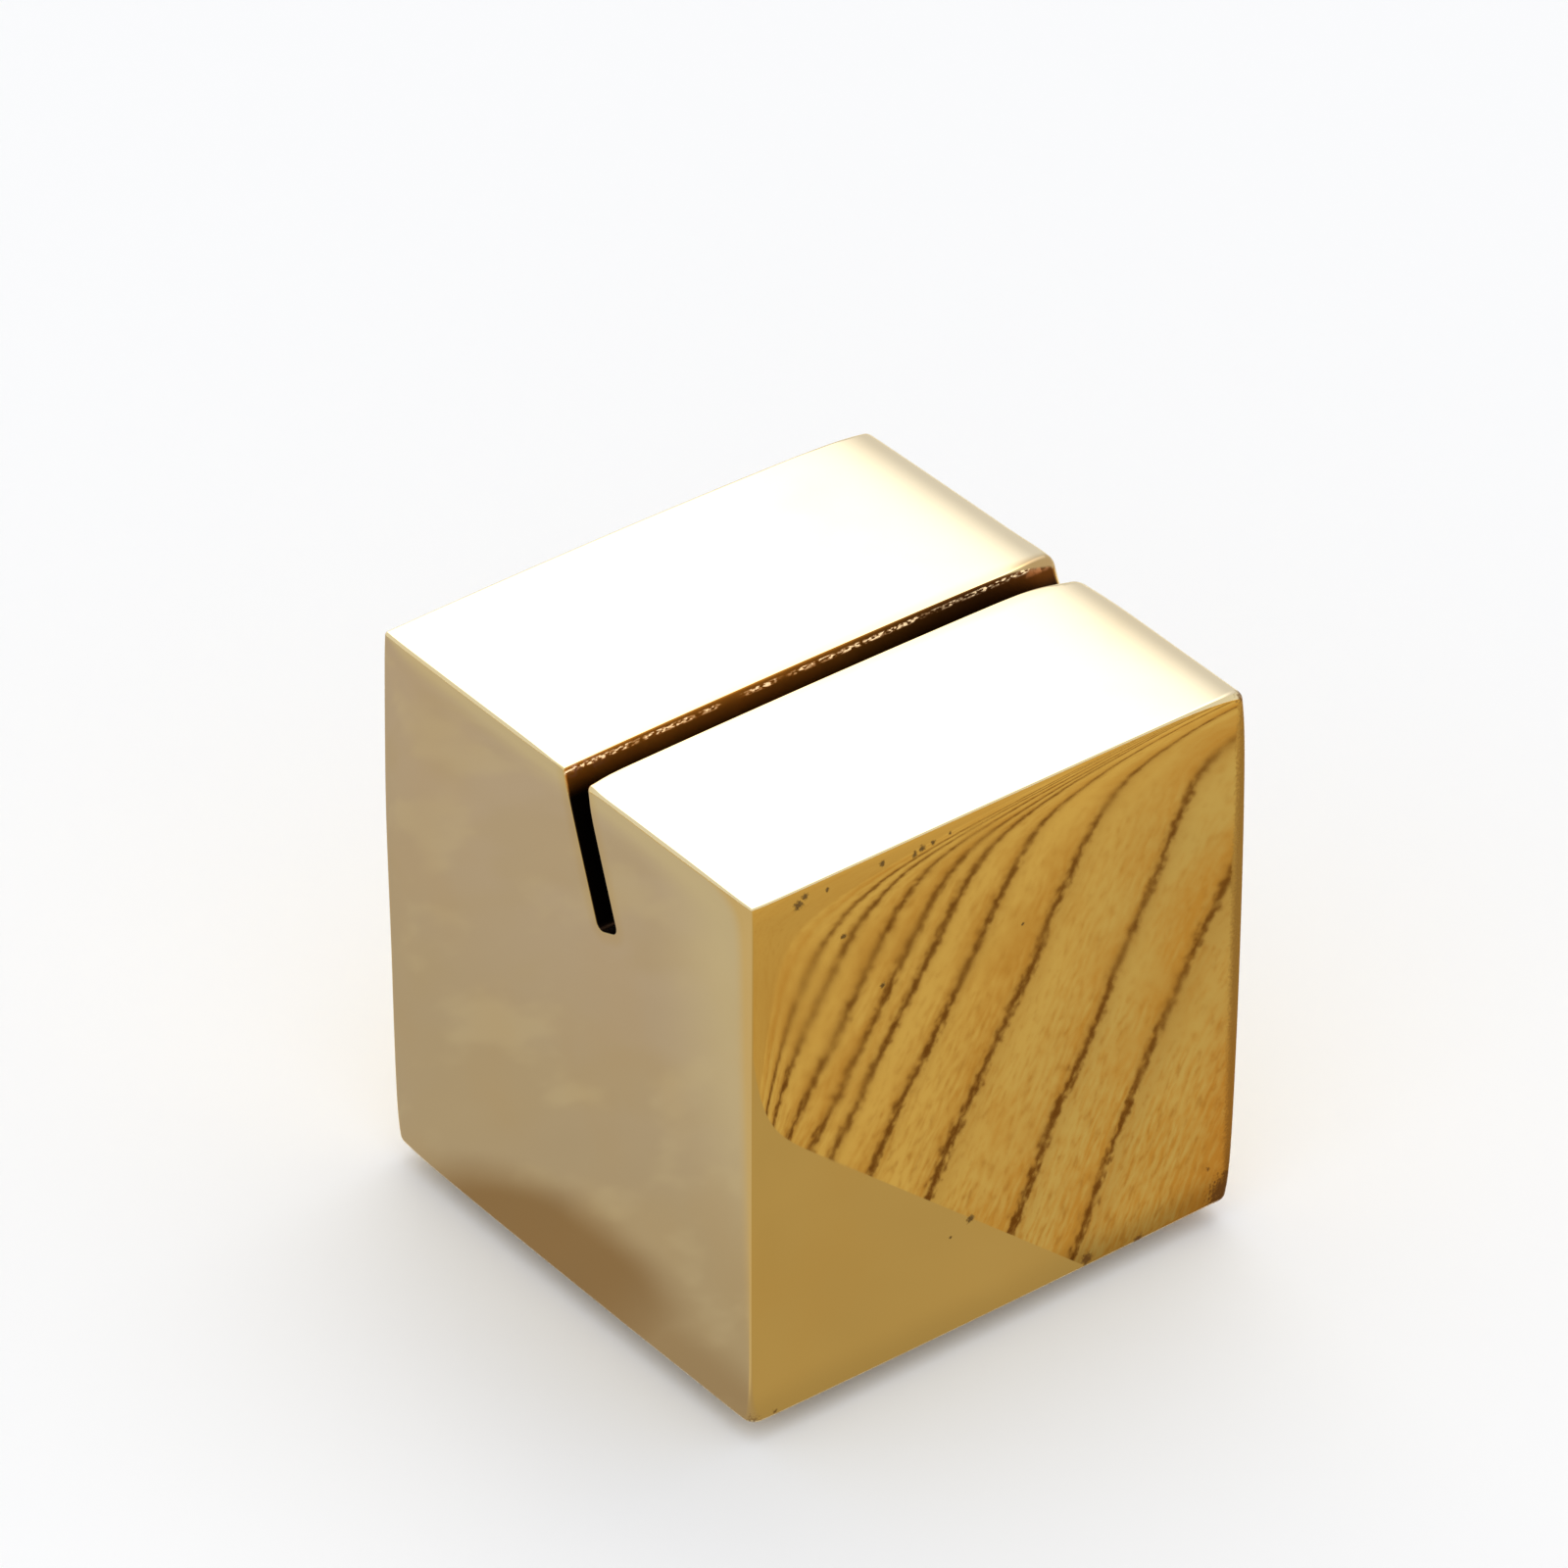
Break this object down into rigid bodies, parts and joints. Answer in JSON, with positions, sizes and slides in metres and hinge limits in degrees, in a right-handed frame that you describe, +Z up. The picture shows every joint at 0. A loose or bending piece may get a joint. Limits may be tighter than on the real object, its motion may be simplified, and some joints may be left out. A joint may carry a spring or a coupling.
{
  "type": "place card holder",
  "caption": "Polished brass block with a leaning slot along its top that holds a place card, on a felt base pad.",
  "frame": {"origin": "middle of the pad's underside, on the table", "axes": "+X along the card slot, left to right seen from the front; the front face looks along -Y; +Z up"},
  "size_m": [0.03, 0.0292, 0.0317],
  "materials": {
    "polished_brass": "mirror polished",
    "felt": "pressed felt"
  },
  "bodies": {
    "root": {"block": "polished_brass", "base_pad": "felt"}
  },
  "joints": []
}
